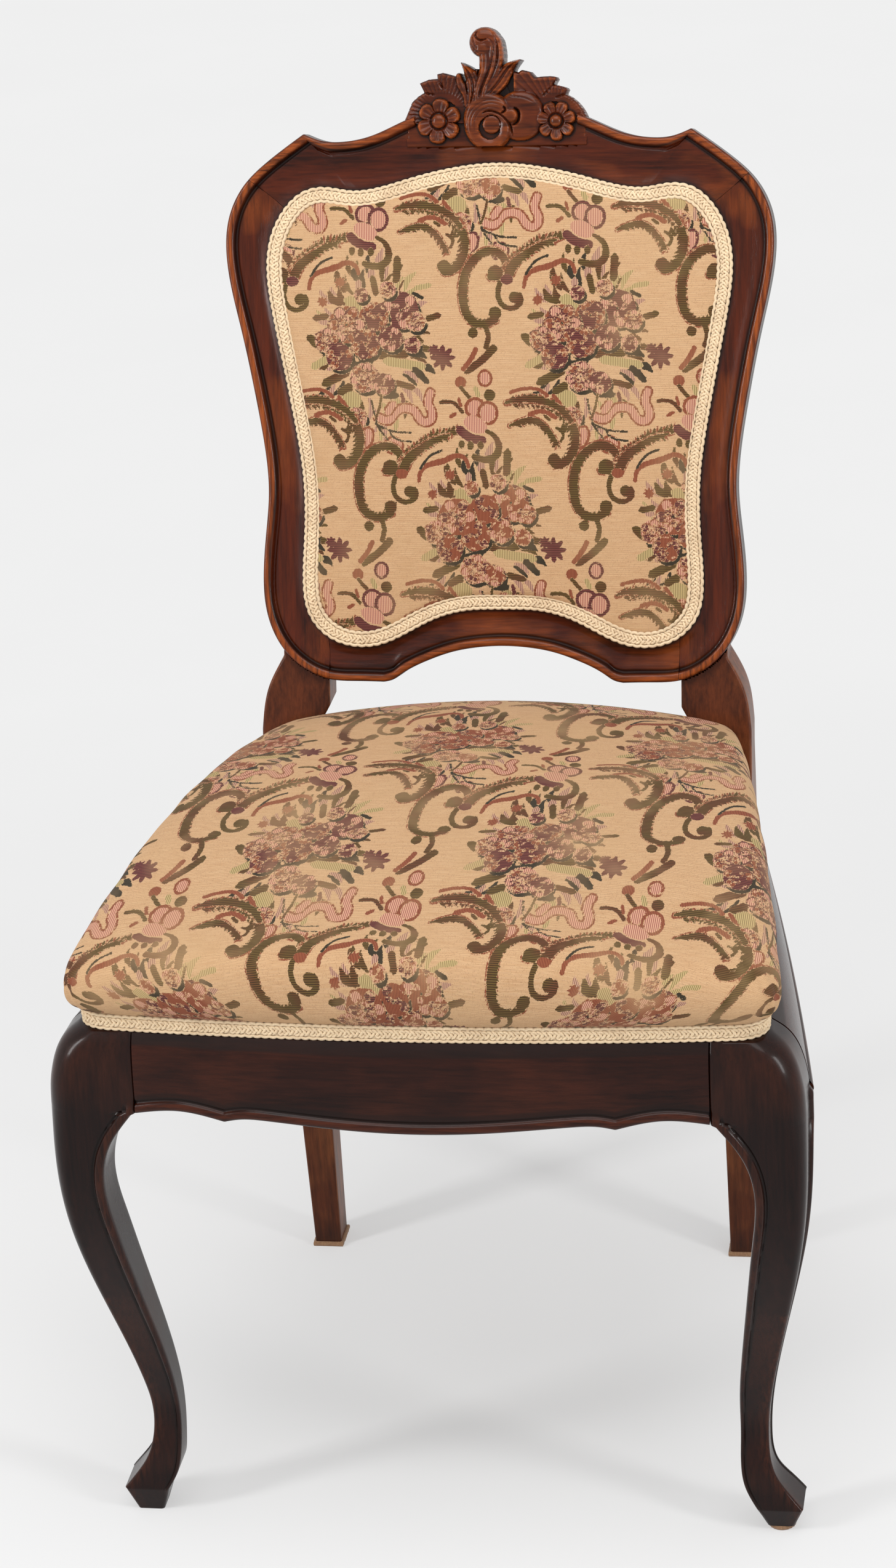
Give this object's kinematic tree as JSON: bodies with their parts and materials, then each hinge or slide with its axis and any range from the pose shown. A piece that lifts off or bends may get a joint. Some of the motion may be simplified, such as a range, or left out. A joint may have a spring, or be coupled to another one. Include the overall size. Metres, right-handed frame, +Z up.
{
  "type": "upholstered side chair",
  "caption": "Upholstered side chair with cabriole front legs, a bow-fronted seat and a shaped, carved and padded back.",
  "frame": {"origin": "on the floor, under the middle of the chair's bounding box", "axes": "+X to the chair's right as seen from the front, +Y from the front legs to the back, +Z up"},
  "size_m": [0.5372, 0.6304, 0.9995],
  "materials": {
    "polished_wood": "glossy dark red-brown stain and polish",
    "bare_wood": "unfinished, hidden inside the frame",
    "seat_tapestry": "woven floral tapestry",
    "back_tapestry": "woven floral tapestry",
    "braid": "cream cotton braid",
    "webbing": "jute webbing",
    "hessian": "plain jute cloth",
    "stuffing": "felted stuffing",
    "lining": "plain woven lining",
    "felt": "brown felt",
    "steel": "wood screws"
  },
  "bodies": {
    "root": {"front_leg_right": "polished_wood", "front_leg_left": "polished_wood", "rear_leg_right": "polished_wood", "rear_leg_left": "polished_wood", "front_rail": "polished_wood", "side_rail_right": "polished_wood", "side_rail_left": "polished_wood", "rear_rail": "polished_wood", "front_glue_block_right": "bare_wood", "front_glue_block_left": "bare_wood", "rear_glue_block_right": "bare_wood", "rear_glue_block_left": "bare_wood", "crest_rail": "polished_wood", "back_lower_rail": "polished_wood", "back_stile_right": "polished_wood", "back_stile_left": "polished_wood", "back_frame_dowels": "bare_wood", "post_screws": "steel", "seat_webbing": "webbing", "seat_hessian": "hessian", "seat_cover": "seat_tapestry", "seat_stuffing": "stuffing", "seat_braid": "braid", "seat_rear_braid": "braid", "back_webbing": "webbing", "back_hessian": "hessian", "back_cover": "back_tapestry", "back_stuffing": "stuffing", "back_braid": "braid", "back_lining": "lining", "front_right_pad": "felt", "rear_right_pad": "felt", "rear_left_pad": "felt"}
  },
  "joints": []
}
